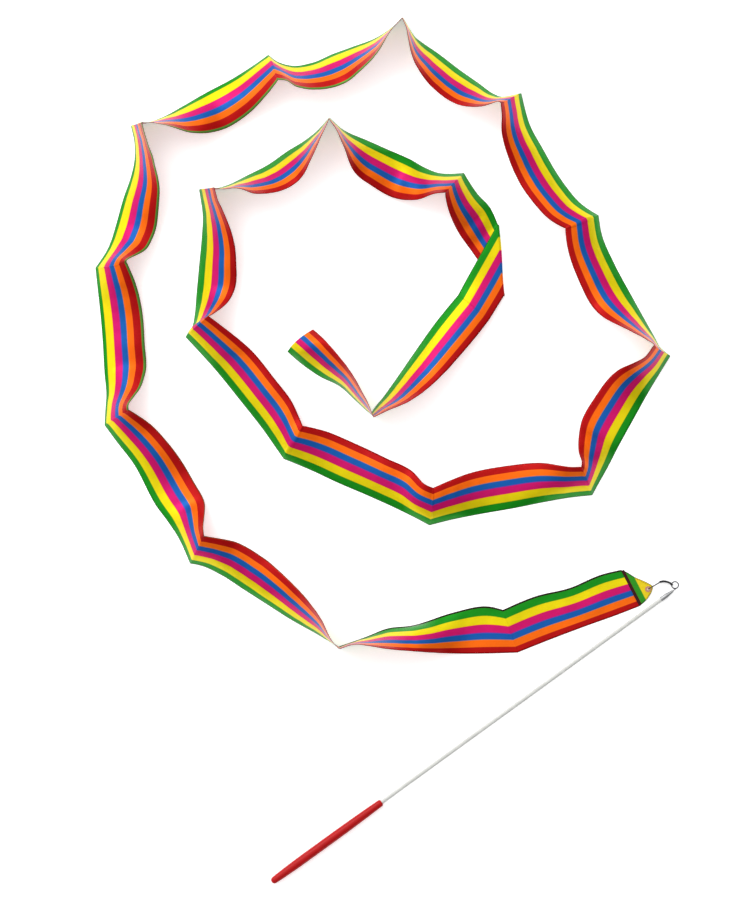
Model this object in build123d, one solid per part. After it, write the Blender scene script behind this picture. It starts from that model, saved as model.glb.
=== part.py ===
from build123d import *
import os
from math import asin, atan2, cos, degrees, hypot, radians, sin, sqrt

# A rhythmic gymnastics ribbon lying on a floor, clipped to its wand. All lengths are in mm.
# +Z is up, the floor is z = 0, and the origin is below the middle of the whole layout.

# --- ribbon ---
RIBBON_WIDTH = 50.0
CLOTH = 0.5              # satin, a little thicker than the real 0.2 so that it makes sound solids
FOLD_OVER_RISE = 2.4     # how far the upper layer of the flat diagonal fold lies above the lower one
STEPS_PER_PIECE = 2      # stations that one solid of the ribbon spans

# --- tab at the start of the ribbon ---
TAB_THICKNESS = 1.0
TAB_FLAT_LENGTH = 3.2    # level part of the tab beside the seam
TAB_RAMP_END = 12.5      # from here on the tab is level again, at the height of the clasp
TAB_OUTLINE = [
    (257, -132), (263, -134), (272, -140), (280, -143), (290, -148), (291.2, -150),
    (291, -153), (289, -158), (284, -165), (277, -171),
]
SEAM_START = (257, -132)
SEAM_END = (277, -171)
HEM_WIDTH = 3.0
HEM_INSET = 0.5          # from each end of the seam
HEM_THICKNESS = 0.4
STITCH = (2.0, 0.5, 0.25)
STITCH_PITCH = 3.2
STITCH_COUNT = 13

# --- grommet ---
CLASP_HEIGHT = 2.8       # the clasp, the eye and the tip of the wand share this height
GROMMET_CENTRE = (286.5, -152.4)
GROMMET_HOLE = 1.3
GROMMET_TUBE = 1.6
GROMMET_FLANGE = 3.3
FLANGE_THICKNESS = 0.4

# --- clasp: a bent wire through the grommet, and the small plate that it pivots on ---
PIVOT = (300.5, -144.3)
CLASP_WIRE = 0.5         # radius
CLASP_WIRE_SPREAD = 2.3  # half the distance between the two strands, and the radius of the end
CLASP_CORNER = 0.8
PIVOT_HOLE = 0.56
STUB_REACH = 0.9         # how near to the middle of the plate the two stubs come
PLATE_AZIMUTH = -13.3    # from the pivot to the ring's hole
PLATE_BOW = 1.5          # how far the middle of the plate bows out from that line
PLATE_END = 1.6          # what the plate reaches past each hole
PLATE_WIDTH = 2.3
PLATE_HEIGHT = 3.4
PLATE_CORNER = 0.9
EYE_HOLE = 1.05
EYE_HOLE_AT = 12.3

# --- swivel eye: a wire ring with a headed shank that turns in the ferrule ---
EYE_CENTRE = (316.2, -148.0)
EYE_RADIUS = 3.8
EYE_WIRE = 0.65
SHANK_RADIUS = 0.5
SHANK_HEAD = 1.0
HEAD_BACK = 9.4          # distances back from the point where the ring meets the wand's axis
HEAD_FRONT = 8.6

# --- wand ---
WAND_AZIMUTH = 35.95
WAND_TIP = 550.65        # from the butt to the point where the ring meets the axis
WIDEST_GRIP_HEIGHT = 5.0
GRIP_RADIUS = 5.0
GRIP_STRAIGHT = (45.0, 80.0)
GRIP_BUTT_RADIUS = 3.9
GRIP_BUTT_LENGTH = 3.5
GRIP_FRONT_RADIUS = 4.0
GRIP_TAPER_END = 146.0
GRIP_LENGTH = 149.5
GRIP_NOSE = (3.65, 148.4)
GRIP_LIP_RADIUS = 2.82
GRIP_BORE = 2.32
GRIP_BORE_START = 30.0
ROD_RADIUS = 2.3
ROD_STOP = 15.0          # distances back from the point where the ring meets the wand's axis
FERRULE_RADIUS = 2.6
FERRULE_BACK = 22.0
FERRULE_TAPER = 14.5
NOSE_FRONT = 5.4
NOSE_RADIUS = 1.2
NOSE_HOLE = 0.57
CAVITY_RADIUS = 1.2
CAVITY_FRONT = 7.6

# The ribbon, span by span. A station is (green x, green y, red x, red y) for the two edges of the
# ribbon seen from above, with an optional lift. Where the two edges are nearer than the ribbon's
# width the red edge stands up by lift times the height that the width leaves. Each span ends at a
# crease, and the next span starts from there.
SPANS = [
    # right to left along the bottom, the first span flat
    [(257, -132, 277, -171, 0), (236, -137, 254, -180, 0), (200, -152, 215, -194, 0),
     (163, -161, 178, -208, 0), (127, -176, 143, -222, 0)],
    [(106, -172, 110, -223), (72, -179, 75, -223), (28, -193, 33, -220), (-2, -197, 0, -216.5),
     (-22, -205, -20, -213.5), (-37, -210.5, -36, -212), (-53, -216, -52, -217)],
    # up the left side
    [(-62, -211, -60, -209), (-77, -202, -71, -187), (-104, -187, -89, -162),
     (-134, -168, -114, -137), (-159, -152, -136, -118), (-184, -136, -166, -101),
     (-203, -127, -185, -97), (-217, -124, -201, -94)],
    [(-227, -101, -202, -85), (-240, -80, -201, -58), (-254, -61, -213, -35), (-280, -13, -241, 8),
     (-297, 9, -262, 30), (-311, 28, -283, 45)],
    [(-310, 46, -283, 51), (-309, 62, -272, 67), (-311, 85, -266, 86), (-313, 120, -267, 118),
     (-316, 155, -270, 155), (-319, 182, -277, 184), (-321, 201, -286, 206)],
    [(-312, 214, -285, 209), (-304, 230, -266, 220), (-299, 246, -257, 236),
     (-290, 278, -251, 268), (-282, 301, -250, 293), (-278, 320, -256, 318),
     (-278, 338, -263, 338), (-282, 357, -268, 358)],
    # left to right along the top
    [(-262, 361, -254, 357.5), (-246, 367, -240, 355), (-226, 378, -214, 348),
     (-200, 393, -183, 352), (-170, 409, -155, 368), (-148, 423, -136, 386),
     (-131, 435, -120, 406)],
    [(-122, 428, -111, 405), (-105, 423, -100, 398), (-84, 426, -80, 394.5),
     (-60, 436, -48, 402), (-38, 444, -28, 417), (-14, 453, -9, 437), (2, 463, 4, 459),
     (17, 476, 16, 473)],
    [(24, 464, 20.5, 462), (30, 455, 22.5, 449), (36, 450, 26, 433), (55, 437, 36, 413),
     (80, 418, 57, 391), (100, 404, 80, 378), (117, 392, 103, 376), (128, 389, 120, 381),
     (147, 393, 124, 379.5)],
    # down the right side
    [(150, 380, 125, 367), (155, 362, 125, 350), (170, 333, 136, 312), (195, 292, 160, 272),
     (212, 272, 177, 254), (232, 258.5, 195, 243.5)],
    [(235, 240, 197, 225), (249, 206, 211, 185), (270, 167, 233, 149), (285, 140, 264, 131),
     (294, 124, 283, 121), (301, 112, 291, 116), (311, 104, 290.5, 114)],
    [(303, 91, 282, 103), (289, 68, 253, 88), (270, 34, 228, 58), (254, 5, 213, 30),
     (240, -22, 210, -2), (231, -38, 213, -12), (225, -49, 212, -18)],
    # right to left below the middle
    [(205, -51, 198, -18), (175, -56, 168, -14), (140, -63, 132, -17), (100, -70, 92, -24.5),
     (70, -76, 66, -34), (46, -82, 50, -41)],
    [(35, -76, 41, -37), (15, -66, 27, -23), (-20, -50, -3, -8), (-55, -35, -37, 8),
     (-85, -21, -68, 21), (-114, -9, -93, 27)],
    # up the left of the inner turn
    [(-121, 1, -98, 38), (-135, 21, -105, 53), (-160, 53, -126, 81), (-190, 90, -155, 115),
     (-208, 110, -180, 135), (-222, 125, -196, 147)],
    [(-215, 135, -189, 150.5), (-212, 148, -177, 160), (-210, 170, -168, 177),
     (-207, 203, -166, 203), (-204, 235, -169, 232), (-203, 260, -179, 260),
     (-205, 275, -186, 275), (-207, 287, -189, 287)],
    # left to right along the top of the inner turn
    [(-190, 288, -180, 285.5), (-174, 292.5, -163, 286), (-155, 302, -146, 281),
     (-130, 315, -113, 286), (-110, 329, -95, 299), (-92, 340, -83, 320), (-79, 350, -74, 340),
     (-64, 366, -64, 362)],
    [(-52, 355, -56, 350), (-42, 349, -47, 330), (-25, 342, -39, 309), (0, 331, -16, 290),
     (25, 320, 10, 277), (43, 310, 33, 275), (60, 304.5, 53, 281), (84, 305, 63, 282)],
    # down to the flat diagonal fold, over it, and back across the middle
    [(90, 295, 64, 274), (99, 282, 68, 260), (112, 268, 78, 240, 0.6), (121, 249, 93, 219, 0),
     (121, 248, 127, 170, 0)],
    [(122.5, 248, 128.5, 170, 0), (121, 248, 127, 170, 0)],
    [(91, 195, 127, 169, 0.15), (78, 171, 111, 143, 0.5)],
    [(55, 143, 92, 119), (30, 108, 64, 87), (10, 79, 38, 63.5), (-5, 58, 15, 49.5),
     (-14, 47, -1, 43), (-18, 40, -15, 36)],
    [(-24, 45, -20, 49), (-36, 56, -28, 64), (-52, 70.5, -38, 82), (-75, 82, -52, 102),
     (-95, 96, -67, 119), (-110, 109, -82, 133, 0.4)],
]
# Where the ribbon lies on top of itself after the diagonal fold: (span, station) and its share of
# the rise to the upper layer.
RAISED = {(19, 0): 0.5, (19, 1): 1.0, (20, 0): 0.65}


def polar(centre, azimuth, distance):
    """A point in plan at a distance from a centre."""
    angle = radians(azimuth)
    return (centre[0] + distance * cos(angle), centre[1] + distance * sin(angle))


# --- the ribbon ---

def standing_height(plan_distance, lift):
    """How high the red edge stands over the green one."""
    share = min(plan_distance / RIBBON_WIDTH, 1.0)
    return lift * RIBBON_WIDTH * sqrt(1 - share ** 2) * (1 - share ** 6)


def edges(station, base):
    """The green and the red edge of one station, in space."""
    green_x, green_y, red_x, red_y = station[:4]
    lift = station[4] if len(station) > 4 else 1.0
    height = standing_height(hypot(red_x - green_x, red_y - green_y), lift)
    return Vector(green_x, green_y, base), Vector(red_x, red_y, base + height)


def section(green, red, along):
    """The ribbon's thin rectangular section, standing on the floor or on its base."""
    across = (along.cross(red - green)).normalized() * (CLOTH / 2)
    corners = [green - across, red - across, red + across, green + across]
    lowest = min(corner.Z for corner in corners)
    rise = Vector(0, 0, min(green.Z, red.Z) - lowest)
    return Wire.make_polygon([corner + rise for corner in corners], close=True)


def ribbon_sections():
    """One list of sections for each span, where neighbours share the section at their crease."""
    placed = []
    for number, span in enumerate(SPANS):
        for index, station in enumerate(span):
            base = RAISED.get((number, index), 0.0) * FOLD_OVER_RISE
            placed.append((number, *edges(station, base)))
    middles = [(green + red) * 0.5 for _, green, red in placed]
    spans = [[] for _ in SPANS]
    last_section = None
    for index, (number, green, red) in enumerate(placed):
        before = middles[max(index - 1, 0)]
        after = middles[min(index + 1, len(middles) - 1)]
        if last_section is not None and not spans[number]:
            spans[number].append(last_section)
        last_section = section(green, red, after - before)
        spans[number].append(last_section)
    return spans


def make_ribbon():
    """Short solids that meet face to face, so that each one is nearly convex."""
    pieces = []
    for wires in ribbon_sections():
        for first in range(0, len(wires) - 1, STEPS_PER_PIECE):
            pieces.append(Solid.make_loft(wires[first:first + STEPS_PER_PIECE + 1], ruled=True))
    return Compound(children=pieces)


# --- the tab ---

def seam_frame():
    """The seam as a plane: X runs off the ribbon towards the grommet, Y up the seam, Z is up."""
    up_the_seam = Vector(SEAM_START[0] - SEAM_END[0], SEAM_START[1] - SEAM_END[1], 0)
    middle = ((SEAM_START[0] + SEAM_END[0]) / 2, (SEAM_START[1] + SEAM_END[1]) / 2, 0)
    return Plane(origin=middle, x_dir=up_the_seam.cross(Vector(0, 0, 1)), z_dir=(0, 0, 1))


def make_tab():
    """A flat piece that ramps up from the floor to the height of the clasp, with a hole."""
    reach = seam_length()
    top = CLASP_HEIGHT + TAB_THICKNESS / 2
    profile = Polyline(
        (0, 0), (TAB_FLAT_LENGTH, 0), (TAB_RAMP_END, top - TAB_THICKNESS),
        (reach, top - TAB_THICKNESS), (reach, top), (TAB_RAMP_END, top),
        (TAB_FLAT_LENGTH, TAB_THICKNESS), (0, TAB_THICKNESS), (0, 0),
    )
    side = Plane(origin=seam_frame().origin, x_dir=seam_frame().x_dir, z_dir=-seam_frame().y_dir)
    slab = extrude(side * make_face(profile), amount=reach, both=True)
    outline = extrude(make_face(Polyline(*TAB_OUTLINE, TAB_OUTLINE[0])), amount=2 * top)
    hole = Pos(*GROMMET_CENTRE, 0) * Cylinder(GROMMET_TUBE, 4 * top)
    return (slab & outline) - hole


def seam_length():
    return hypot(SEAM_START[0] - SEAM_END[0], SEAM_START[1] - SEAM_END[1])


def make_hem():
    """The narrow band sewn over the join of ribbon and tab."""
    length = seam_length() - 2 * HEM_INSET
    band = Box(HEM_WIDTH, length, HEM_THICKNESS, align=(Align.MIN, Align.CENTER, Align.MIN))
    return seam_frame().location * Pos(0, 0, TAB_THICKNESS) * band


def make_stitching():
    """A row of short stitches along the band."""
    wide, thick, high = STITCH
    stitch = Box(thick, wide, high, align=(Align.CENTER, Align.CENTER, Align.MIN))
    first = -(STITCH_COUNT - 1) / 2 * STITCH_PITCH
    top = TAB_THICKNESS + HEM_THICKNESS
    places = [Pos(HEM_WIDTH / 2, first + number * STITCH_PITCH, top) for number in range(STITCH_COUNT)]
    return Compound(children=[seam_frame().location * place * stitch for place in places])


# --- the grommet ---

def turned(points):
    """A solid of revolution about Z from (radius, height) points."""
    return revolve(Plane.XZ * make_face(Polyline(*points, points[0])), Axis.Z)


def at_grommet(shape):
    return Pos(*GROMMET_CENTRE, CLASP_HEIGHT) * shape


def make_grommet():
    """The upper flange and the tube through the tab."""
    half = TAB_THICKNESS / 2
    outer = half + FLANGE_THICKNESS
    return at_grommet(turned([
        (GROMMET_HOLE, -outer), (GROMMET_TUBE, -outer), (GROMMET_TUBE, half),
        (GROMMET_FLANGE, half), (GROMMET_FLANGE, outer), (GROMMET_HOLE, outer),
    ]))


def make_washer():
    """The ring that the tube is set over, below the tab."""
    half = TAB_THICKNESS / 2
    outer = half + FLANGE_THICKNESS
    return at_grommet(turned([
        (GROMMET_TUBE, -outer), (GROMMET_FLANGE, -outer), (GROMMET_FLANGE, -half),
        (GROMMET_TUBE, -half),
    ]))


# --- the clasp ---

def clasp_azimuth():
    return degrees(atan2(PIVOT[1] - GROMMET_CENTRE[1], PIVOT[0] - GROMMET_CENTRE[0]))


def make_clasp_wire():
    """A wire bent through the grommet, with its two ends turned in to the plate's pivot hole."""
    reach = hypot(PIVOT[0] - GROMMET_CENTRE[0], PIVOT[1] - GROMMET_CENTRE[1])
    spread = CLASP_WIRE_SPREAD
    upper = FilletPolyline((spread, spread), (reach, spread), (reach, STUB_REACH), radius=CLASP_CORNER)
    lower = FilletPolyline(
        (spread, -spread), (reach, -spread), (reach, -STUB_REACH), radius=CLASP_CORNER
    )
    end = ThreePointArc((spread, spread), (0, 0), (spread, -spread))
    side = Plane(
        origin=(*GROMMET_CENTRE, CLASP_HEIGHT),
        x_dir=(cos(radians(clasp_azimuth())), sin(radians(clasp_azimuth())), 0),
        z_dir=(sin(radians(clasp_azimuth())), -cos(radians(clasp_azimuth())), 0),
    )
    path = side * (upper + end + lower)
    route = path.wire()
    return sweep(Plane(origin=route @ 0, z_dir=route % 0) * Circle(CLASP_WIRE), path=route)


def make_clasp_plate():
    """A slim bowed block with an upright hole for the wire's ends and a cross hole for the ring."""
    reach = EYE_HOLE_AT / 2
    bend = (reach ** 2 + PLATE_BOW ** 2) / (2 * PLATE_BOW)
    centre = (reach, PLATE_BOW - bend)
    turn = degrees(asin(reach / bend) + PLATE_END / bend)
    outer, inner = [
        ThreePointArc(*[polar(centre, azimuth, radius) for azimuth in (90 + turn, 90, 90 - turn)])
        for radius in (bend + PLATE_WIDTH / 2, bend - PLATE_WIDTH / 2)
    ]
    outline = make_face(outer + Line(outer @ 1, inner @ 1) + inner + Line(inner @ 0, outer @ 0))
    block = extrude(outline, amount=PLATE_HEIGHT / 2, both=True)
    block = fillet(block.edges().filter_by(Axis.Z), PLATE_CORNER)
    pivot_hole = Cylinder(PIVOT_HOLE, 2 * PLATE_HEIGHT)
    ring_hole = Pos(EYE_HOLE_AT, 0, 0) * Rot(90, 0, 0) * Cylinder(EYE_HOLE, 3 * PLATE_WIDTH)
    return Pos(*PIVOT, CLASP_HEIGHT) * Rot(0, 0, PLATE_AZIMUTH) * (block - pivot_hole - ring_hole)


# --- the wand ---

def wand_frame():
    """A plane at the butt whose Z runs along the wand to its tip."""
    tip = polar(EYE_CENTRE, WAND_AZIMUTH - 90, EYE_RADIUS)
    fall = (WIDEST_GRIP_HEIGHT - CLASP_HEIGHT) / (WAND_TIP - GRIP_STRAIGHT[1])
    level = sqrt(1 - fall ** 2)
    along = Vector(*polar((0, 0), WAND_AZIMUTH, level), -fall)
    return Plane(origin=Vector(*tip, CLASP_HEIGHT) - along * WAND_TIP, z_dir=along)


def on_wand(shape):
    return wand_frame().location * shape


def make_grip():
    """A handle with a round butt, a straight widest part and a long taper, bored for the rod."""
    butt = TangentArc((0, 0), (GRIP_BUTT_RADIUS, GRIP_BUTT_LENGTH), tangent=(1, 0))
    swell = TangentArc(
        (GRIP_RADIUS, GRIP_STRAIGHT[0]), (GRIP_BUTT_RADIUS, GRIP_BUTT_LENGTH), tangent=(0, -1)
    )
    straight = Line((GRIP_RADIUS, GRIP_STRAIGHT[0]), (GRIP_RADIUS, GRIP_STRAIGHT[1]))
    taper = TangentArc(
        (GRIP_RADIUS, GRIP_STRAIGHT[1]), (GRIP_FRONT_RADIUS, GRIP_TAPER_END), tangent=(0, 1)
    )
    lip = (GRIP_LIP_RADIUS, GRIP_LENGTH)
    front = ThreePointArc(taper @ 1, GRIP_NOSE, lip)
    bore = Polyline(
        lip, (GRIP_BORE, GRIP_LENGTH), (GRIP_BORE, GRIP_BORE_START), (0, GRIP_BORE_START), (0, 0)
    )
    face = make_face(butt + swell + straight + taper + front + bore)
    return on_wand(revolve(Plane.XZ * face, Axis.Z))


def make_rod():
    length = WAND_TIP - ROD_STOP - GRIP_BORE_START
    rod = Cylinder(ROD_RADIUS, length, align=(Align.CENTER, Align.CENTER, Align.MIN))
    return on_wand(Pos(0, 0, GRIP_BORE_START) * rod)


def make_ferrule():
    """A metal cap over the end of the rod, with a hollow for the head of the swivel."""
    outline = [
        (ROD_RADIUS, FERRULE_BACK), (FERRULE_RADIUS, FERRULE_BACK), (FERRULE_RADIUS, FERRULE_TAPER),
        (NOSE_RADIUS, NOSE_FRONT), (NOSE_HOLE, NOSE_FRONT), (NOSE_HOLE, CAVITY_FRONT),
        (CAVITY_RADIUS, CAVITY_FRONT), (CAVITY_RADIUS, ROD_STOP), (ROD_RADIUS, ROD_STOP),
    ]
    return on_wand(turned([(radius, WAND_TIP - back) for radius, back in outline]))


def make_swivel_eye():
    """The ring, and its shank along the wand's axis with a head inside the ferrule."""
    ring = Pos(*EYE_CENTRE, CLASP_HEIGHT) * Torus(EYE_RADIUS, EYE_WIRE)
    from_bottom = (Align.CENTER, Align.CENTER, Align.MIN)
    shank = Pos(0, 0, WAND_TIP - HEAD_FRONT) * Cylinder(SHANK_RADIUS, HEAD_FRONT, align=from_bottom)
    head = Cylinder(SHANK_HEAD, HEAD_BACK - HEAD_FRONT, align=from_bottom)
    return ring + on_wand(shank + Pos(0, 0, WAND_TIP - HEAD_BACK) * head)


NODES = {
    "ribbon": make_ribbon,
    "ribbon_tab": make_tab,
    "tab_hem": make_hem,
    "tab_stitching": make_stitching,
    "grommet": make_grommet,
    "grommet_washer": make_washer,
    "clasp_wire": make_clasp_wire,
    "clasp_plate": make_clasp_plate,
    "swivel_eye": make_swivel_eye,
    "ferrule": make_ferrule,
    "rod": make_rod,
    "grip": make_grip,
}

os.makedirs("parts", exist_ok=True)
for node, make in NODES.items():
    export_step(make(), f"parts/{node}.step")
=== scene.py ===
import math
from collections import namedtuple

import bmesh
import bpy
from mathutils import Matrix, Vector, noise


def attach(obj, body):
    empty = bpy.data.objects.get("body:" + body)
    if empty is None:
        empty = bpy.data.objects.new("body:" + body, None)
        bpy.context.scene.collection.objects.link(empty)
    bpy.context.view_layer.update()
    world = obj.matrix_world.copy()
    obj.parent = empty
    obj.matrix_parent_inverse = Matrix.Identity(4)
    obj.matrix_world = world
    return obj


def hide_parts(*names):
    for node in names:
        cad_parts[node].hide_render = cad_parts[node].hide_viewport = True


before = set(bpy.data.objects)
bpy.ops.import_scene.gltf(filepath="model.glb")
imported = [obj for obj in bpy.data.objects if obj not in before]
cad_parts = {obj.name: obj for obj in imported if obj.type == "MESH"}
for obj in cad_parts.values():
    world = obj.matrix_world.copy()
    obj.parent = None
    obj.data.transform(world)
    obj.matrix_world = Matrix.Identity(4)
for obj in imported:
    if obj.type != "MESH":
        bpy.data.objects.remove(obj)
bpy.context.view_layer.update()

# A rhythmic gymnastics ribbon with its wand, lying on a pale floor. All lengths are in metres.

RIBBON_WIDTH = 0.050
CLOTH = 0.0004            # thickness of the shown satin
FLOOR_GAP = 0.00045       # keeps the satin and its edge thread just above the floor
FOLD_OVER_RISE = 0.0024
ROW_STEP = 0.0028         # distance between cross rows of the ribbon's mesh
ROWS_ACROSS = 28
SHORTEST_STEP = 0.0005    # keeps stations that nearly meet apart along the curve
TINY = 1e-6
FLATTEN_POWER = 6         # how late the standing edge comes down as the ribbon turns flat
ARCH_START = 0.006        # spare width at which the cloth is fully arched
CREASE_ROWS = (0.0005, 0.001, 0.0016)
CREASE_HEIGHT = 0.0005    # a sharp line left where the satin was once folded
CREASE_WIDTH = 0.0008
CREASE_MIN_WIDTH = 0.008  # seen from above; narrower rows stand on edge and show no line
CREASE_MAX_WIDTH = RIBBON_WIDTH * 1.1
LONG_WRINKLE = (0.035, 1.6, 3.1, 0.0009)     # length, waves across, place in the noise, height
SHORT_WRINKLE = (0.009, 2.8, 8.4, 0.00035)
WRINKLE_START = 0.12      # share of the width, from the green edge, over which wrinkles grow
RIBBON_SHARP_ANGLE = 32   # degrees between faces
STEEP_REACH = 0.02        # rows narrower than this seen from above stand nearly upright
EDGE_THREAD = 0.0003      # radius
DARK_EDGE_THREAD = 0.0007
TAB_RIM_THREAD = 0.00045  # thin enough to clear the clasp wire when it drops

SEAM_START = Vector((0.257, -0.132, 0))
SEAM_END = Vector((0.277, -0.171, 0))
TAB_OUTLINE = [
    (0.257, -0.132), (0.263, -0.134), (0.272, -0.140), (0.280, -0.143), (0.290, -0.148),
    (0.2912, -0.150), (0.291, -0.153), (0.289, -0.158), (0.284, -0.165), (0.277, -0.171),
]
TAB_THICKNESS = 0.001
TAB_FLAT_LENGTH = 0.0032
TAB_RAMP_END = 0.0125
TAB_HOLE = 0.0016
TAB_HOLE_POINTS = 24
TAB_REACH = 0.036         # from the seam to past the tip
TAB_RIM_SOFTNESS = 0.3    # share of the thickness that is rounded off
TAB_CUTS_OUT = (0.0005, TAB_REACH, 0.0012)   # first, last and step, off the seam
TAB_CUTS_ALONG = (-0.044, 0.01, 0.002)       # the same, up the seam
TAB_PUFF = (0.00012, 0.004)                  # height and size of its unevenness
TAB_SHARP_ANGLE = 50      # degrees between faces
CLASP_HEIGHT = 0.0028
GROMMET_CENTRE = (0.2865, -0.1524)
HEM_WIDTH = 0.003
HEM_THICKNESS = 0.0004
HEM_CLOTH = 0.0003
HEM_END_GAP = 0.0006      # between the band's end and the ribbon's edge
HEM_ROWS = 60
HEM_STEPS = 8
HEM_WAVE = (0.0001, 3.0, 5)                  # height, rows to a wave, place in the noise
HEM_STITCH_INSET = 0.001
HEM_STITCH = 0.0020
HEM_STITCH_GAP = 0.0011
HEM_STITCH_THREAD = 0.0002
BORDER_INSET = 0.0011     # from the tab's rim to its border stitches
BORDER_LIFT = 0.00005
BORDER_STITCH = 0.0016
BORDER_STITCH_GAP = 0.0009
BORDER_THREAD = 0.00014
STITCH_STEPS = 4
STITCH_ARCH = 0.00012

PICTURE_CENTRE = (-0.01375, -0.0044)
PICTURE_HEIGHT = 1.0      # what the long side of the picture covers on the floor
SKY_BRIGHT_SIDE = (-0.52, 0.62, 0.59)
SKY_FADE = (-0.25, 0.95)  # where the sky is dimmest and brightest, as a cosine to that side
SKY_BRIGHT = 1.5
SKY_DIM = 0.26
FLOOR_GLOW = 0.42         # the floor's own glow, painted light that thins the shadows, as on a lit white table
LENS = 250.0
SENSOR = 36.0
CAMERA_REACH = 50.0
KEY_PLACE = (-1.7, 2.0, 2.6)
KEY_SIZE = 2.2
KEY_POWER = 40.0
FLOOR_HALF = 6.0

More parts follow.
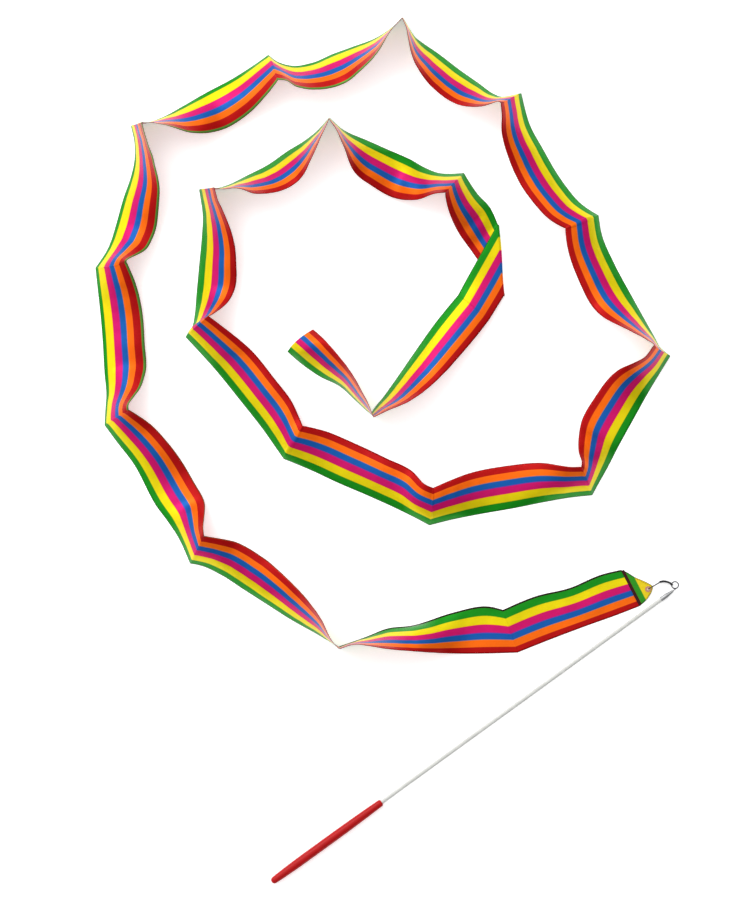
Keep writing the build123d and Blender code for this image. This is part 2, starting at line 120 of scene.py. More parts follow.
# The ribbon, span by span. A station is (green x, green y, red x, red y) for the ribbon's two
# edges seen from above, with an optional lift. Where the edges are nearer than the ribbon's width
# the red edge stands up by lift times the height that the width leaves. Each span ends at a
# crease, and the next span starts from there.
SPANS = [
    # right to left along the bottom, the first span flat
    [(0.257, -0.132, 0.277, -0.171, 0), (0.236, -0.137, 0.254, -0.18, 0),
     (0.2, -0.152, 0.215, -0.194, 0), (0.163, -0.161, 0.178, -0.208, 0),
     (0.127, -0.176, 0.143, -0.222, 0)],
    [(0.106, -0.172, 0.11, -0.223, 0), (0.072, -0.179, 0.075, -0.223, 0.3),
     (0.028, -0.193, 0.033, -0.22, 0.85),
     (-0.002, -0.197, 0.0, -0.2165), (-0.022, -0.205, -0.02, -0.2135),
     (-0.037, -0.2105, -0.036, -0.212), (-0.053, -0.216, -0.052, -0.217)],
    # up the left side
    [(-0.062, -0.211, -0.06, -0.209), (-0.077, -0.202, -0.071, -0.187),
     (-0.104, -0.187, -0.089, -0.162), (-0.134, -0.168, -0.114, -0.137),
     (-0.159, -0.152, -0.136, -0.118), (-0.184, -0.136, -0.166, -0.101),
     (-0.203, -0.127, -0.185, -0.097), (-0.217, -0.124, -0.201, -0.094)],
    [(-0.227, -0.101, -0.202, -0.085), (-0.24, -0.08, -0.201, -0.058),
     (-0.254, -0.061, -0.213, -0.035), (-0.28, -0.013, -0.241, 0.008), (-0.297, 0.009, -0.262, 0.03),
     (-0.311, 0.028, -0.283, 0.045)],
    [(-0.31, 0.046, -0.283, 0.051), (-0.309, 0.062, -0.272, 0.067), (-0.311, 0.085, -0.266, 0.086),
     (-0.313, 0.12, -0.267, 0.118), (-0.316, 0.155, -0.27, 0.155), (-0.319, 0.182, -0.277, 0.184),
     (-0.321, 0.201, -0.286, 0.206)],
    [(-0.312, 0.214, -0.285, 0.209), (-0.304, 0.23, -0.266, 0.22), (-0.299, 0.246, -0.257, 0.236),
     (-0.29, 0.278, -0.251, 0.268), (-0.282, 0.301, -0.25, 0.293), (-0.278, 0.32, -0.256, 0.318),
     (-0.278, 0.338, -0.263, 0.338), (-0.282, 0.357, -0.268, 0.358)],
    # left to right along the top
    [(-0.262, 0.361, -0.254, 0.3575), (-0.246, 0.367, -0.24, 0.355), (-0.226, 0.378, -0.214, 0.348),
     (-0.2, 0.393, -0.183, 0.352), (-0.17, 0.409, -0.155, 0.368), (-0.148, 0.423, -0.136, 0.386),
     (-0.131, 0.435, -0.12, 0.406)],
    [(-0.122, 0.428, -0.111, 0.405), (-0.105, 0.423, -0.1, 0.398), (-0.084, 0.426, -0.08, 0.3945),
     (-0.06, 0.436, -0.048, 0.402), (-0.038, 0.444, -0.028, 0.417), (-0.014, 0.453, -0.009, 0.437),
     (0.002, 0.463, 0.004, 0.459), (0.017, 0.476, 0.016, 0.473)],
    [(0.024, 0.464, 0.0205, 0.462), (0.03, 0.455, 0.0225, 0.449), (0.036, 0.45, 0.026, 0.433),
     (0.055, 0.437, 0.036, 0.413), (0.08, 0.418, 0.057, 0.391), (0.1, 0.404, 0.08, 0.378),
     (0.117, 0.392, 0.103, 0.376), (0.128, 0.389, 0.12, 0.381), (0.147, 0.393, 0.124, 0.3795)],
    # down the right side
    [(0.15, 0.38, 0.125, 0.367), (0.155, 0.362, 0.125, 0.35), (0.17, 0.333, 0.136, 0.312),
     (0.195, 0.292, 0.16, 0.272), (0.212, 0.272, 0.177, 0.254), (0.232, 0.2585, 0.195, 0.2435)],
    [(0.235, 0.24, 0.197, 0.225), (0.249, 0.206, 0.211, 0.185), (0.27, 0.167, 0.233, 0.149),
     (0.285, 0.14, 0.264, 0.131), (0.294, 0.124, 0.283, 0.121), (0.301, 0.112, 0.291, 0.116),
     (0.311, 0.104, 0.2905, 0.114)],
    [(0.303, 0.091, 0.282, 0.103), (0.289, 0.068, 0.253, 0.088), (0.27, 0.034, 0.228, 0.058),
     (0.254, 0.005, 0.213, 0.03), (0.24, -0.022, 0.21, -0.002), (0.231, -0.038, 0.213, -0.012),
     (0.225, -0.049, 0.212, -0.018)],
    # right to left below the middle
    [(0.205, -0.051, 0.198, -0.018), (0.175, -0.056, 0.168, -0.014), (0.14, -0.063, 0.132, -0.017),
     (0.1, -0.07, 0.092, -0.0245), (0.07, -0.076, 0.066, -0.034), (0.046, -0.082, 0.05, -0.041)],
    [(0.035, -0.076, 0.041, -0.037), (0.015, -0.066, 0.027, -0.023), (-0.02, -0.05, -0.003, -0.008),
     (-0.055, -0.035, -0.037, 0.008), (-0.085, -0.021, -0.068, 0.021), (-0.114, -0.009, -0.093, 0.027)],
    # up the left of the inner turn
    [(-0.121, 0.001, -0.098, 0.038), (-0.135, 0.021, -0.105, 0.053), (-0.16, 0.053, -0.126, 0.081),
     (-0.19, 0.09, -0.155, 0.115), (-0.208, 0.11, -0.18, 0.135), (-0.222, 0.125, -0.196, 0.147)],
    [(-0.215, 0.135, -0.189, 0.1505), (-0.212, 0.148, -0.177, 0.16), (-0.21, 0.17, -0.168, 0.177),
     (-0.207, 0.203, -0.166, 0.203), (-0.204, 0.235, -0.169, 0.232), (-0.203, 0.26, -0.179, 0.26),
     (-0.205, 0.275, -0.186, 0.275), (-0.207, 0.287, -0.189, 0.287)],
    # left to right along the top of the inner turn
    [(-0.19, 0.288, -0.18, 0.2855), (-0.174, 0.2925, -0.163, 0.286), (-0.155, 0.302, -0.146, 0.281),
     (-0.13, 0.315, -0.113, 0.286), (-0.11, 0.329, -0.095, 0.299), (-0.092, 0.34, -0.083, 0.32),
     (-0.079, 0.35, -0.074, 0.34), (-0.064, 0.366, -0.064, 0.362)],
    [(-0.052, 0.355, -0.056, 0.35), (-0.042, 0.349, -0.047, 0.33), (-0.025, 0.342, -0.039, 0.309),
     (0.0, 0.331, -0.016, 0.29), (0.025, 0.32, 0.01, 0.277), (0.043, 0.31, 0.033, 0.275),
     (0.06, 0.3045, 0.053, 0.281), (0.084, 0.305, 0.063, 0.282)],
    # down to the flat diagonal fold, over it, and back across the middle
    [(0.09, 0.295, 0.064, 0.274), (0.099, 0.282, 0.068, 0.26), (0.112, 0.268, 0.078, 0.24, 0.6),
     (0.121, 0.249, 0.093, 0.219, 0), (0.121, 0.248, 0.127, 0.17, 0)],
    [(0.1225, 0.248, 0.1285, 0.17, 0), (0.121, 0.248, 0.127, 0.17, 0)],
    [(0.091, 0.195, 0.127, 0.169, 0.15), (0.078, 0.171, 0.111, 0.143, 0.5)],
    [(0.055, 0.143, 0.092, 0.119), (0.03, 0.108, 0.064, 0.087), (0.01, 0.079, 0.038, 0.0635),
     (-0.005, 0.058, 0.015, 0.0495), (-0.014, 0.047, -0.001, 0.043), (-0.018, 0.04, -0.015, 0.036)],
    [(-0.024, 0.045, -0.02, 0.049), (-0.036, 0.056, -0.028, 0.064), (-0.052, 0.0705, -0.038, 0.082),
     (-0.075, 0.082, -0.052, 0.102), (-0.095, 0.096, -0.067, 0.119),
     (-0.11, 0.109, -0.082, 0.133, 0.4)],
]
# Where the ribbon lies on top of itself after the diagonal fold: (span, station) and its share of
# the rise to the upper layer.
RAISED = {(19, 0): 0.5, (19, 1): 1.0, (20, 0): 0.65}

# How far the stripes have moved across the ribbon in each span, as a share of its width.
STRIPE_SHIFT_EARLY = -0.025
STRIPE_SHIFT_LOWER_LEFT = 0.03
STRIPE_SHIFT_MIDDLE = 0.085
STRIPE_SHIFT_LATE = 0.0
LOWER_LEFT_SPANS = range(2, 4)
MIDDLE_SPANS = range(4, 8)

# The spans whose green edge is sewn with dark thread and with green thread.
DARK_EDGE_SPANS = range(0, 2)
GREEN_EDGE_SPANS = range(2, 23)

GREEN = "#0E8A12"
PALE_GREEN = "#4F8A34"
YELLOW = "#E6D200"
YELLOW_RIM = "#E85A10"
MAGENTA = "#C80A66"
PURPLE = "#6A2C9A"
BLUE = "#0A56A6"
OLIVE = "#8A7A5A"
ORANGE = "#F46800"
RED = "#AE0000"
DARK_RED = "#240003"

# The stripes across the ribbon: where each starts, as a share of the width, and its colour.
STRIPES = [
    (-0.10, DARK_RED), (0.0, GREEN), (0.17, YELLOW), (0.352, YELLOW_RIM), (0.362, MAGENTA),
    (0.525, PURPLE), (0.54, BLUE), (0.675, OLIVE), (0.685, ORANGE), (0.84, RED), (1.02, PALE_GREEN),
]
STRIPE_LOW = -0.1
STRIPE_HIGH = 1.2
STRIPE_BLUR = 0.01

# The stripes across the tab: where each starts, in metres off the seam, and its colour.
TAB_STRIPES = [(0.0, RED), (0.0032, "#2C8F1E"), (0.0095, "#E3C81E")]
TAB_STRIPE_BLUR = 0.0006
GREEN_THREAD = "#0A5A10"
RED_THREAD = "#6A0A0A"
HEM_RED = "#340004"
FLOOR_WHITE = "#FAFAFA"
THREADS_PER_METRE = 2600.0

# The metal parts: material, colour, roughness and the CAD nodes that have it.
METALS = [
    ("grommet_metal", "#BC8672", 0.3, ["grommet", "grommet_washer"]),
    ("clasp_metal", "#38383A", 0.34, ["clasp_wire", "clasp_plate"]),
    ("eye_metal", "#5E5F62", 0.28, ["swivel_eye"]),
    ("ferrule_metal", "#A2A3A4", 0.38, ["ferrule"]),
]
METAL_GRAIN = 900.0


# --- the ribbon's shape ---

def all_spans():
    """Each span as a list of stations [green x, green y, red x, red y, lift, base, shift]."""
    spans = []
    crease = None
    for number, span in enumerate(SPANS):
        full = []
        for index, station in enumerate(span):
            lift = station[4] if len(station) > 4 else 1.0
            base = RAISED.get((number, index), 0.0) * FOLD_OVER_RISE
            full.append([*station[:4], lift, base, stripe_shift(number)])
        if crease is not None:
            full.insert(0, crease[:6] + [full[0][6]])
        crease = full[-1]
        spans.append(full)
    return spans


def stripe_shift(span):
    """How far the stripes are moved across the ribbon in a span, as a share of its width."""
    if span < LOWER_LEFT_SPANS.start:
        return STRIPE_SHIFT_EARLY
    if span in LOWER_LEFT_SPANS:
        return STRIPE_SHIFT_LOWER_LEFT
    return STRIPE_SHIFT_MIDDLE if span in MIDDLE_SPANS else STRIPE_SHIFT_LATE


def middle(station):
    return Vector(((station[0] + station[2]) / 2, (station[1] + station[3]) / 2))


def slopes(points, knots):
    """The slope of each number at each station, for a smooth curve through uneven knots."""
    steps = [knots[i + 1] - knots[i] for i in range(len(knots) - 1)]
    rates = [
        [(b - a) / step for a, b in zip(points[i], points[i + 1])] for i, step in enumerate(steps)
    ]
    if len(rates) == 1:
        return [rates[0], rates[0]]
    inner = []
    for i in range(1, len(points) - 1):
        share = steps[i - 1] / (steps[i - 1] + steps[i])
        inner.append([a * (1 - share) + b * share for a, b in zip(rates[i - 1], rates[i])])
    first = [1.5 * rate - 0.5 * slope for rate, slope in zip(rates[0], inner[0])]
    last = [1.5 * rate - 0.5 * slope for rate, slope in zip(rates[-1], inner[-1])]
    return [first, *inner, last]


def smooth_rows(span):
    """The span's stations with rows between them, at most ROW_STEP apart."""
    knots = [0.0]
    for before, after in zip(span, span[1:]):
        far = max((middle(after) - middle(before)).length, abs(after[5] - before[5]), SHORTEST_STEP)
        knots.append(knots[-1] + far)
    tangents = slopes(span, knots)
    rows = [span[0]]
    for i in range(len(span) - 1):
        step = knots[i + 1] - knots[i]
        for place in row_places(step, i == 0, i == len(span) - 2):
            rows.append(hermite(span[i], span[i + 1], tangents[i], tangents[i + 1], step, place))
    return rows


def row_places(step, starts_at_crease, ends_at_crease):
    """Where the rows of one step go, as shares of it, with extra ones close to a crease."""
    count = max(2, math.ceil(step / ROW_STEP))
    places = {k / count for k in range(1, count + 1)}
    for near in CREASE_ROWS:
        if near < step / 2:
            places |= {near / step} if starts_at_crease else set()
            places |= {1 - near / step} if ends_at_crease else set()
    return sorted(places)


def hermite(start, end, start_slope, end_slope, step, t):
    """A row between two stations, on a smooth curve with the given slopes at its ends."""
    a = 2 * t ** 3 - 3 * t ** 2 + 1
    b = (t ** 3 - 2 * t ** 2 + t) * step
    c = 3 * t ** 2 - 2 * t ** 3
    d = (t ** 3 - t ** 2) * step
    parts = zip(start, start_slope, end, end_slope)
    return [a * p + b * m + c * q + d * n for p, m, q, n in parts]


def edge_points(row):
    """The green and the red edge of a row, in space."""
    green_x, green_y, red_x, red_y, lift, base = row[:6]
    share = min(math.hypot(red_x - green_x, red_y - green_y) / RIBBON_WIDTH, 1.0)
    height = lift * RIBBON_WIDTH * math.sqrt(1 - share ** 2) * (1 - share ** FLATTEN_POWER)
    low = base + FLOOR_GAP
    return Vector((green_x, green_y, low)), Vector((red_x, red_y, low + height))


def arch_height(chord):
    """How far the middle of a row rises over its chord, as a shallow arc of the full width."""
    spare = max(RIBBON_WIDTH - chord, 0.0)
    start = min(spare / ARCH_START, 1.0)
    return start * math.sqrt(3 * chord * spare / 8)


def upper_side(along, chord):
    """The direction at a right angle to the cloth, on its upper side."""
    side = along.cross(chord).normalized()
    return -side if side.z < 0 else side


def cross_row(green, red, side, lift):
    """The points of one row, arched upwards between its edges."""
    chord = red - green
    rise = arch_height(chord.length) * min(lift, 1.0)
    shares = [k / ROWS_ACROSS for k in range(ROWS_ACROSS + 1)]
    return [green + chord * v + side * rise * 4 * v * (1 - v) for v in shares]


def stripe_places(points):
    """Where each point of a row lies across the stripes, which keep even widths seen from above."""
    start, end = points[0].xy, points[-1].xy
    reach = (end - start).length
    trust = min(reach / STEEP_REACH, 1.0)
    places = []
    for k, point in enumerate(points):
        even = k / ROWS_ACROSS
        seen = (point.xy - start).dot(end - start) / max(reach, TINY) ** 2
        places.append(even + (seen - even) * trust)
    return places


def wrinkle(travelled, v, length, across, place, height):
    return height * noise.noise(Vector((travelled / length, v * across, place)))


def wrinkled(point, side, travelled, v, crease):
    """Small soft wrinkles and the crease lines, none at the green edge, which lies on the floor."""
    waves = wrinkle(travelled, v, *LONG_WRINKLE) + wrinkle(travelled, v, *SHORT_WRINKLE)
    fade = min(v / WRINKLE_START, 1.0)
    return point + side * fade * (waves + crease)


def crease_distances(stations, travelled):
    """How far each row is from the nearest crease that shows as a line across the satin."""
    creases = []
    for i, (number, row) in enumerate(stations[:-1]):
        reach = math.hypot(row[2] - row[0], row[3] - row[1])
        if stations[i + 1][0] != number and CREASE_MIN_WIDTH < reach < CREASE_MAX_WIDTH:
            creases.append(travelled[i])
    return [min(abs(place - crease) for crease in creases) for place in travelled]


Row = namedtuple("Row", "span points travelled stripes")


def ribbon_rows():
    """Every cross row of the ribbon, from the tab to the free end."""
    stations = []
    for number, span in enumerate(all_spans()):
        rows = smooth_rows(span)
        stations += [(number, row) for row in (rows if number == 0 else rows[1:])]
    edge_pairs = [edge_points(row) for _, row in stations]
    middles = [(green + red) / 2 for green, red in edge_pairs]
    travelled = [0.0]
    for before, after in zip(middles, middles[1:]):
        travelled.append(travelled[-1] + (after - before).length)
    made = []
    for i, distance in enumerate(crease_distances(stations, travelled)):
        number, row = stations[i]
        green, red = edge_pairs[i]
        along = middles[min(i + 1, len(middles) - 1)] - middles[max(i - 1, 0)]
        side = upper_side(along, red - green)
        points = cross_row(green, red, side, row[4])
        stripes = [place + row[6] for place in stripe_places(points)]
        crease = CREASE_HEIGHT * math.exp(-(distance / CREASE_WIDTH) ** 2)
        points = [
            wrinkled(point, side, travelled[i], k / ROWS_ACROSS, crease)
            for k, point in enumerate(points)
        ]
        lift = Vector((0, 0, max(0.0, FLOOR_GAP - min(point.z for point in points))))
        made.append(Row(number, [point + lift for point in points], travelled[i], stripes))
    return made


def mesh_object(name, vertices, faces):
    mesh = bpy.data.meshes.new(name)
    mesh.from_pydata(vertices, [], faces)
    mesh.update()
    piece = bpy.data.objects.new(name, mesh)
    bpy.context.scene.collection.objects.link(piece)
    for polygon in mesh.polygons:
        polygon.use_smooth = True
    return piece


def make_ribbon(rows):
    across = ROWS_ACROSS + 1
    vertices = [point for row in rows for point in row.points]
    faces = []
    for i in range(len(rows) - 1):
        for k in range(ROWS_ACROSS):
            first = i * across + k
            faces.append((first, first + 1, first + across + 1, first + across))
    piece = mesh_object("ribbon_satin", vertices, faces)
    layer = piece.data.uv_layers.new(name="cloth")
    for loop in piece.data.loops:
        number, k = divmod(loop.vertex_index, across)
        layer.data[loop.index].uv = (rows[number].travelled, rows[number].stripes[k])
    piece.data.set_sharp_from_angle(angle=math.radians(RIBBON_SHARP_ANGLE))
    thicken = piece.modifiers.new("thickness", "SOLIDIFY")
    thicken.thickness = CLOTH
    thicken.offset = 0
    return piece


def low_edge(rows, spans, radius):
    """The middle of a thread along the ribbon's green edge, just above the floor."""
    rise = Vector((0, 0, max(radius - FLOOR_GAP, 0.0)))
    return [row.points[0] + rise for row in rows if row.span in spans]


def tube(name, runs, radius):
    """A round thread along each run of points."""
    curve = bpy.data.curves.new(name, "CURVE")
    curve.dimensions = "3D"
    curve.bevel_depth = radius
    curve.bevel_resolution = 1
    curve.use_fill_caps = True
    for run in runs:
        spline = curve.splines.new("POLY")
        spline.points.add(len(run) - 1)
        for target, point in zip(spline.points, run):
            target.co = (*point, 1)
    piece = bpy.data.objects.new(name, curve)
    bpy.context.scene.collection.objects.link(piece)
    return piece


# --- the tab ---

def seam_directions():
    """Up the seam, and off the ribbon at a right angle to it."""
    up = (SEAM_START - SEAM_END).normalized()
    return up, up.cross(Vector((0, 0, 1)))


def tab_height(point):
    """The height of the tab's middle layer below or above a point in plan."""
    _, off = seam_directions()
    distance = (Vector((point[0], point[1], 0)) - SEAM_START).dot(off)
    share = (distance - TAB_FLAT_LENGTH) / (TAB_RAMP_END - TAB_FLAT_LENGTH)
    share = min(max(share, 0.0), 1.0)
    low = TAB_THICKNESS / 2
    return low + (CLASP_HEIGHT - low) * share * share * (3 - 2 * share)


def rounded(outline, rounds=2):
    """The outline with its corners cut, but for the two at the seam."""
    points = [Vector(point) for point in outline]
    for _ in range(rounds):
        cut = [points[0]]
        for before, after in zip(points, points[1:]):
            cut += [before * 0.75 + after * 0.25, before * 0.25 + after * 0.75]
        points = cut + [points[-1]]
    return points


def make_tab():
    """A flat stitched patch with a soft rim, bent up to the clasp, with a hole for the grommet."""
    curve = bpy.data.curves.new("ribbon_tab_cloth", "CURVE")
    curve.dimensions = "2D"
    curve.fill_mode = "BOTH"
    bevel = TAB_THICKNESS * TAB_RIM_SOFTNESS
    curve.bevel_depth = bevel
    curve.bevel_resolution = 2
    curve.offset = -bevel
    curve.extrude = TAB_THICKNESS / 2 - bevel
    ring = [
        (GROMMET_CENTRE[0] + TAB_HOLE * math.cos(a), GROMMET_CENTRE[1] + TAB_HOLE * math.sin(a))
        for a in (2 * math.pi * k / TAB_HOLE_POINTS for k in range(TAB_HOLE_POINTS))
    ]
    for outline in (rounded(TAB_OUTLINE), ring):
        spline = curve.splines.new("POLY")
        spline.points.add(len(outline) - 1)
        for target, point in zip(spline.points, outline):
            target.co = (point[0], point[1], 0, 1)
        spline.use_cyclic_u = True
    flat = bpy.data.objects.new("tab_outline", curve)
    bpy.context.scene.collection.objects.link(flat)
    depsgraph = bpy.context.evaluated_depsgraph_get()
    mesh = bpy.data.meshes.new_from_object(flat.evaluated_get(depsgraph))
    bpy.data.objects.remove(flat)
    bend_tab(mesh)
    piece = bpy.data.objects.new("ribbon_tab_cloth", mesh)
    bpy.context.scene.collection.objects.link(piece)
    return piece


def bend_tab(mesh):
    """Cuts the flat patch in strips along and across the seam, and lifts it to its height."""
    up, off = seam_directions()
    shape = bmesh.new()
    shape.from_mesh(mesh)
    bmesh.ops.remove_doubles(shape, verts=shape.verts, dist=TINY)
    for direction, (first, last, step) in ((off, TAB_CUTS_OUT), (up, TAB_CUTS_ALONG)):
        place = first
        while place < last:
            everything = shape.verts[:] + shape.edges[:] + shape.faces[:]
            bmesh.ops.bisect_plane(
                shape, geom=everything, plane_co=SEAM_START + direction * place, plane_no=direction
            )
            place += step
    layer = shape.loops.layers.uv.new("cloth")
    for face in shape.faces:
        face.smooth = True
        for loop in face.loops:
            offset = loop.vert.co - SEAM_START
            loop[layer].uv = (offset.dot(off), offset.dot(up))
    puff_height, puff_size = TAB_PUFF
    for vertex in shape.verts:
        puff = puff_height * noise.noise(Vector((vertex.co.x, vertex.co.y, 0)) / puff_size)
        vertex.co.z += tab_height(vertex.co) + puff
    shape.to_mesh(mesh)
    shape.free()
    mesh.set_sharp_from_angle(angle=math.radians(TAB_SHARP_ANGLE))


def make_hem():
    """The dark band over the join: a narrow strip, rounded across and slightly wavy."""
    up, off = seam_directions()
    length = (SEAM_START - SEAM_END).length - 2 * HEM_END_GAP
    wave_height, wave_rows, wave_place = HEM_WAVE
    vertices = []
    for i in range(HEM_ROWS + 1):
        for k in range(HEM_STEPS + 1):
            v = k / HEM_STEPS
            along = SEAM_END + up * (HEM_END_GAP + length * i / HEM_ROWS)
            wave = wave_height * noise.noise(Vector((i / wave_rows, 0, wave_place)))
            height = TAB_THICKNESS + HEM_THICKNESS * math.sin(math.pi * v) ** 0.5 + wave
            vertices.append(along + off * (HEM_WIDTH * v) + Vector((0, 0, height)))
    across = HEM_STEPS + 1
    faces = []
    for i in range(HEM_ROWS):
        for k in range(HEM_STEPS):
            first = i * across + k
            faces.append((first, first + across, first + across + 1, first + 1))
    piece = mesh_object("tab_hem_band", vertices, faces)
    thicken = piece.modifiers.new("thickness", "SOLIDIFY")
    thicken.thickness = HEM_CLOTH
    thicken.offset = -1
    return piece


def stitches(points, height, length, gap):
    """Short arched runs along a line of points in plan, each lying on the cloth."""
    line = [Vector((point[0], point[1], 0)) for point in points]
    runs = []
    place = gap
    total = sum((b - a).length for a, b in zip(line, line[1:]))
    while place + length < total:
        run = []
        for k in range(STITCH_STEPS + 1):
            spot = walk(line, place + length * k / STITCH_STEPS)
            arch = STITCH_ARCH * math.sin(math.pi * k / STITCH_STEPS)
            run.append((spot.x, spot.y, height(spot) + arch))
        runs.append(run)
        place += length + gap
    return runs


def walk(line, distance):
    """The point at a distance along a line of points."""
    for a, b in zip(line, line[1:]):
        step = (b - a).length
        if distance <= step:
            return a + (b - a) * (distance / step)
        distance -= step
    return line[-1]


def make_hem_stitches():
    up, off = seam_directions()
    start = SEAM_END + off * (HEM_WIDTH / 2) + up * HEM_STITCH_INSET
    end = SEAM_START + off * (HEM_WIDTH / 2) - up * HEM_STITCH_INSET
    top = TAB_THICKNESS + HEM_THICKNESS
    runs = stitches([start, end], lambda spot: top, HEM_STITCH, HEM_STITCH_GAP)
    return tube("tab_stitch_row", runs, HEM_STITCH_THREAD)


def make_tab_border():
    """Stitches a little inside the rim of the tab, on its upper side."""
    centre = sum((Vector(point) for point in TAB_OUTLINE), Vector((0, 0))) / len(TAB_OUTLINE)
    line = []
    for point in rounded(TAB_OUTLINE):
        inward = (centre - point).normalized()
        line.append(point + inward * BORDER_INSET)

    def top(spot):
        return tab_height(spot) + TAB_THICKNESS / 2 + BORDER_LIFT

    return tube("tab_border_stitch", stitches(line, top, BORDER_STITCH, BORDER_STITCH_GAP), BORDER_THREAD)


def make_tab_rim():
    """The dark thread wound over the rim of the tab."""
    run = [(point[0], point[1], tab_height(point)) for point in rounded(TAB_OUTLINE)]
    return tube("tab_rim", [run], TAB_RIM_THREAD)


# --- materials ---

def linear(colour):
    """A "#RRGGBB" colour as linear light with alpha."""
    values = [int(colour[i:i + 2], 16) / 255 for i in (1, 3, 5)]
    return tuple(v / 12.92 if v <= 0.04045 else ((v + 0.055) / 1.055) ** 2.4 for v in values) + (1.0,)


def new_material(name, roughness, metallic=0.0):
    material = bpy.data.materials.new(name)
    material.use_nodes = True
    shader = material.node_tree.nodes["Principled BSDF"]
    shader.inputs["Roughness"].default_value = roughness
    shader.inputs["Metallic"].default_value = metallic
    return material, shader


def add(material, kind, **settings):
    """A new node, with its sockets or properties set by name."""
    node = material.node_tree.nodes.new(kind)
    for name, value in settings.items():
        if name in node.inputs:
            node.inputs[name].default_value = value
        else:
            setattr(node, name, value)
    return node


def join(material, source, output, target, socket):
    material.node_tree.links.new(source.outputs[output], target.inputs[socket])


def noise_texture(material, scale, detail):
    """Noise in metres: scale is how many blobs go in one metre."""
    place = add(material, "ShaderNodeTexCoord")
    texture = add(material, "ShaderNodeTexNoise", Scale=scale, Detail=detail)
    join(material, place, "Object", texture, "Vector")
    return texture


def vary_roughness(material, shader, texture, low, high):
    spread = add(material, "ShaderNodeMapRange")
    spread.inputs["To Min"].default_value = low
    spread.inputs["To Max"].default_value = high
    join(material, texture, "Fac", spread, "Value")
    join(material, spread, "Result", shader, "Roughness")


def bump(material, shader, texture, output, strength, distance):
    node = add(material, "ShaderNodeBump", Strength=strength, Distance=distance)
    join(material, texture, output, node, "Height")
    join(material, node, "Normal", shader, "Normal")
    return node


def tinted(material, colour_source, output, texture, low, high):
    """The colour made a little darker and lighter by a texture."""
    spread = add(material, "ShaderNodeMapRange")
    spread.inputs["To Min"].default_value = low
    spread.inputs["To Max"].default_value = high
    join(material, texture, "Fac", spread, "Value")
    mix = add(material, "ShaderNodeVectorMath", operation="SCALE")
    join(material, colour_source, output, mix, "Vector")
    join(material, spread, "Result", mix, "Scale")
    return mix


def cloth_coordinates(material, scale):
    place = add(material, "ShaderNodeUVMap", uv_map="cloth")
    mapping = add(material, "ShaderNodeMapping", Scale=scale)
    join(material, place, "UV", mapping, "Vector")
    return mapping


def weave(material, along_scale, across_scale):
    """Fine threads both ways, as the height of a satin weave."""
    waves = []
    for direction, scale in (("X", along_scale), ("Y", across_scale)):
        mapping = cloth_coordinates(material, scale)
        wave = add(material, "ShaderNodeTexWave", bands_direction=direction, Scale=1.0)
        wave.inputs["Distortion"].default_value = 0.6
        join(material, mapping, "Vector", wave, "Vector")
        waves.append(wave)
    total = add(material, "ShaderNodeMath", operation="ADD")
    material.node_tree.links.new(waves[0].outputs["Fac"], total.inputs[0])
    material.node_tree.links.new(waves[1].outputs["Fac"], total.inputs[1])
    return total


def colour_ramp(material, stops, low, high, blur):
    """A ramp over low..high where each stop starts a flat band."""
    ramp = add(material, "ShaderNodeValToRGB")
    elements = ramp.color_ramp.elements
    while len(elements) > 1:
        elements.remove(elements[-1])
    span = high - low
    for index, (start, colour) in enumerate(stops):
        if index == 0:
            elements[0].position = 0.0
            elements[0].color = linear(colour)
            continue
        before = elements.new(min(max((start - blur / 2 - low) / span, 0), 1))
        before.color = linear(stops[index - 1][1])
        after = elements.new(min(max((start + blur / 2 - low) / span, 0), 1))
        after.color = linear(colour)
    return ramp


def satin_finish(material, shader, ramp, threads_across):
    """The sheen, the weave and the small variations that all the satin shares."""
    cloud = noise_texture(material, 40.0, 4.0)
    colour = tinted(material, ramp, "Color", cloud, 0.86, 1.1)
    join(material, colour, "Vector", shader, "Base Color")
    vary_roughness(material, shader, cloud, 0.34, 0.46)
    shader.inputs["Metallic"].default_value = 0.42
    shader.inputs["Anisotropic"].default_value = 0.55
    shader.inputs["Specular IOR Level"].default_value = 0.2
    tangent = add(material, "ShaderNodeTangent", direction_type="UV_MAP", uv_map="cloth")
    join(material, tangent, "Tangent", shader, "Tangent")
    threads = weave(material, (THREADS_PER_METRE, 1.0, 1.0), (1.0, threads_across, 1.0))
    fine = bump(material, shader, threads, "Value", 0.25, 0.00006)
    creases = noise_texture(material, 160.0, 3.0)
    broad = add(material, "ShaderNodeBump", Strength=0.35, Distance=0.0006)
    join(material, creases, "Fac", broad, "Height")
    join(material, broad, "Normal", fine, "Normal")


def stripe_material():
    material, shader = new_material("striped_satin", 0.4)
    place = add(material, "ShaderNodeUVMap", uv_map="cloth")
    parts = add(material, "ShaderNodeSeparateXYZ")
    join(material, place, "UV", parts, "Vector")
    rescale = add(material, "ShaderNodeMapRange")
    rescale.inputs["From Min"].default_value = STRIPE_LOW
    rescale.inputs["From Max"].default_value = STRIPE_HIGH
    join(material, parts, "Y", rescale, "Value")
    ramp = colour_ramp(material, STRIPES, STRIPE_LOW, STRIPE_HIGH, STRIPE_BLUR)
    join(material, rescale, "Result", ramp, "Fac")
    satin_finish(material, shader, ramp, THREADS_PER_METRE * RIBBON_WIDTH)
    return material


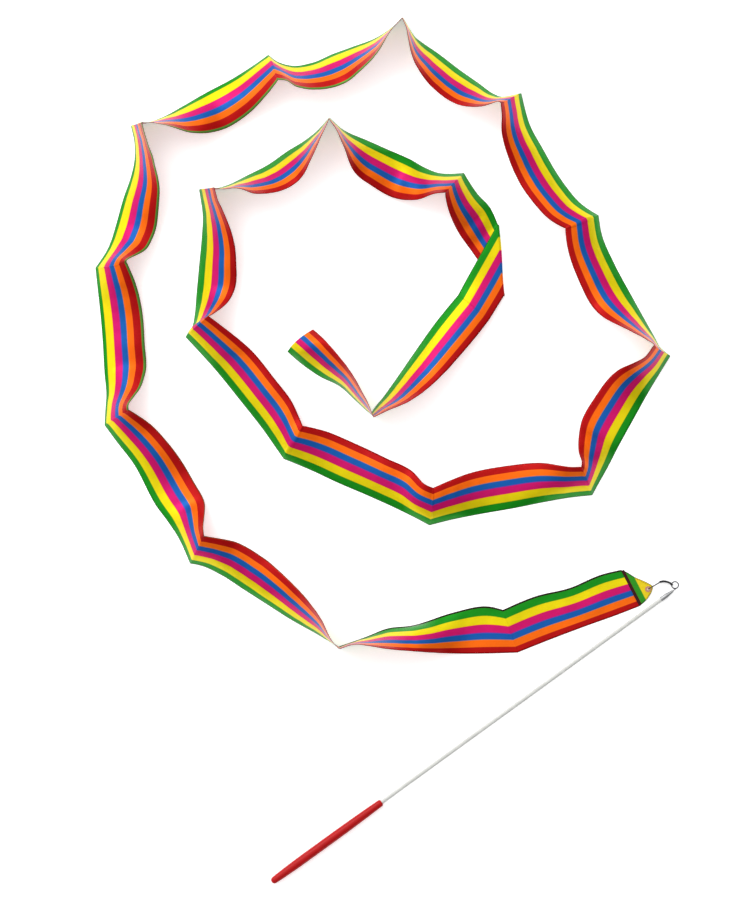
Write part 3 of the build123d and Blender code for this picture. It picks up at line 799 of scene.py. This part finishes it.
def tab_material():
    """The tab is the ribbon turned across, so that its stripes run along the seam."""
    material, shader = new_material("tab_satin", 0.4)
    place = add(material, "ShaderNodeUVMap", uv_map="cloth")
    parts = add(material, "ShaderNodeSeparateXYZ")
    join(material, place, "UV", parts, "Vector")
    rescale = add(material, "ShaderNodeMapRange")
    rescale.inputs["From Max"].default_value = TAB_REACH
    join(material, parts, "X", rescale, "Value")
    ramp = colour_ramp(material, TAB_STRIPES, 0.0, TAB_REACH, TAB_STRIPE_BLUR)
    join(material, rescale, "Result", ramp, "Fac")
    satin_finish(material, shader, ramp, THREADS_PER_METRE)
    return material


def plain_material(name, colour, roughness, grain, metallic=0.0, relief=0.00003, contrast=0.2):
    """One colour with slight cloudiness, uneven gloss and a fine surface relief."""
    material, shader = new_material(name, roughness, metallic)
    texture = noise_texture(material, grain, 4.0)
    ramp = add(material, "ShaderNodeValToRGB")
    base = linear(colour)
    for element, gain in zip(ramp.color_ramp.elements, (1 - contrast, 1 + contrast)):
        element.color = tuple(min(v * gain, 1.0) for v in base[:3]) + (1,)
    join(material, texture, "Fac", ramp, "Fac")
    join(material, ramp, "Color", shader, "Base Color")
    vary_roughness(material, shader, texture, roughness * 0.75, min(roughness * 1.3, 1.0))
    bump(material, shader, texture, "Fac", 0.3, relief)
    return material, shader


def thread_material(name, colour):
    """Thread: one colour with slight cloudiness, fine relief and little shine."""
    material, shader = plain_material(name, colour, 0.7, 2500.0, relief=0.00008)
    shader.inputs["Specular IOR Level"].default_value = 0.25
    return material


# --- putting it together ---

def dress(piece, material, body, slot, *nodes):
    """Gives a new piece its material, puts it under its body's empty and hides the CAD nodes it replaces.
    """
    if piece.data.materials:
        piece.data.materials[0] = material
    else:
        piece.data.materials.append(material)
    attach(piece, body)
    if nodes:
        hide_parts(*nodes)


def repaint(node, material):
    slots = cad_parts[node].data.materials
    for index in range(len(slots)):
        slots[index] = material


def make_key_light():
    """A large soft light from the far left, aimed at the middle of the floor."""
    data = bpy.data.lights.new("key", "AREA")
    data.shape = "DISK"
    data.size = KEY_SIZE
    data.energy = KEY_POWER
    lamp = bpy.data.objects.new("key", data)
    lamp.location = KEY_PLACE
    lamp.rotation_euler = (-Vector(KEY_PLACE)).to_track_quat("-Z", "Y").to_euler()
    bpy.context.scene.collection.objects.link(lamp)


def make_world():
    """A soft pale sky, brightest high up on the far left side and dim on the near right."""
    world = bpy.data.worlds.new("studio")
    world.use_nodes = True
    nodes, links = world.node_tree.nodes, world.node_tree.links
    place = nodes.new("ShaderNodeTexCoord")
    facing = nodes.new("ShaderNodeVectorMath")
    facing.operation = "DOT_PRODUCT"
    facing.inputs[1].default_value = SKY_BRIGHT_SIDE
    spread = nodes.new("ShaderNodeMapRange")
    spread.inputs["From Min"].default_value = SKY_FADE[0]
    spread.inputs["From Max"].default_value = SKY_FADE[1]
    spread.inputs["To Min"].default_value = SKY_DIM
    spread.inputs["To Max"].default_value = SKY_BRIGHT
    links.new(place.outputs["Generated"], facing.inputs[0])
    links.new(facing.outputs["Value"], spread.inputs["Value"])
    links.new(spread.outputs["Result"], nodes["Background"].inputs["Strength"])
    nodes["Background"].inputs["Color"].default_value = (1, 1, 1, 1)
    bpy.context.scene.world = world


def make_stage():
    """A pale floor with a faint glow of painted light, soft light from above and the camera looking
    straight down.
    """
    corners = [(x * FLOOR_HALF, y * FLOOR_HALF, 0) for x, y in ((-1, -1), (1, -1), (1, 1), (-1, 1))]
    floor = mesh_object("floor", corners, [(0, 1, 2, 3)])
    material, shader = plain_material("floor_pale", FLOOR_WHITE, 0.9, 3.0, relief=0.0, contrast=0.02)
    # The floor glows a little: painted light that thins the shadows on it.
    shader.inputs["Emission Color"].default_value = (1, 1, 1, 1)
    shader.inputs["Emission Strength"].default_value = FLOOR_GLOW
    floor.data.materials.append(material)
    make_key_light()
    make_world()
    bpy.context.scene.view_settings.view_transform = "Standard"
    data = bpy.data.cameras.new("camera")
    data.lens = LENS
    data.sensor_width = SENSOR
    data.clip_end = CAMERA_REACH
    camera = bpy.data.objects.new("camera", data)
    camera.location = (*PICTURE_CENTRE, PICTURE_HEIGHT * LENS / SENSOR)
    bpy.context.scene.collection.objects.link(camera)
    bpy.context.scene.camera = camera


rows = ribbon_rows()
ribbon = make_ribbon(rows)
dress(ribbon, stripe_material(), "ribbon_body", "ribbon_satin", "ribbon")
dark_run = low_edge(rows, DARK_EDGE_SPANS, DARK_EDGE_THREAD)
dark_edge = tube("ribbon_edge_dark", [dark_run], DARK_EDGE_THREAD)
green_run = low_edge(rows, GREEN_EDGE_SPANS, EDGE_THREAD)
green_edge = tube("ribbon_edge_green", [green_run], EDGE_THREAD)
red_edge = tube("ribbon_edge_red", [[row.points[-1] for row in rows]], EDGE_THREAD)
dress(dark_edge, thread_material("dark_edge_thread", DARK_RED), "ribbon_body", "ribbon_satin")
dress(green_edge, thread_material("green_thread", GREEN_THREAD), "ribbon_body", "ribbon_satin")
dress(red_edge, thread_material("red_thread", RED_THREAD), "ribbon_body", "ribbon_satin")

tab = make_tab()
hem = make_hem()
hem_stitches = make_hem_stitches()
tab_border = make_tab_border()
tab_rim = make_tab_rim()
dark_thread = thread_material("dark_thread", DARK_RED)
dress(tab, tab_material(), "ribbon_body", "tab_satin", "ribbon_tab")
dress(hem, thread_material("hem_cloth", HEM_RED), "ribbon_body", "hem_band", "tab_hem")
dress(hem_stitches, dark_thread, "ribbon_body", "thread", "tab_stitching")
dress(tab_border, dark_thread, "ribbon_body", "thread")
dress(tab_rim, dark_thread, "ribbon_body", "thread")

for name, colour, roughness, nodes in METALS:
    metal, _ = plain_material(name, colour, roughness, METAL_GRAIN, metallic=1.0)
    for node in nodes:
        repaint(node, metal)
rod_white, _ = plain_material("rod_white", "#CBCCC8", 0.42, 220.0)
repaint("rod", rod_white)
grip_red, grip_shader = plain_material("grip_red", "#AE0204", 0.36, 160.0)
grip_shader.inputs["Specular IOR Level"].default_value = 0.2
grip_shader.inputs["Coat Weight"].default_value = 0.04
grip_shader.inputs["Coat Roughness"].default_value = 0.3
repaint("grip", grip_red)

make_stage()
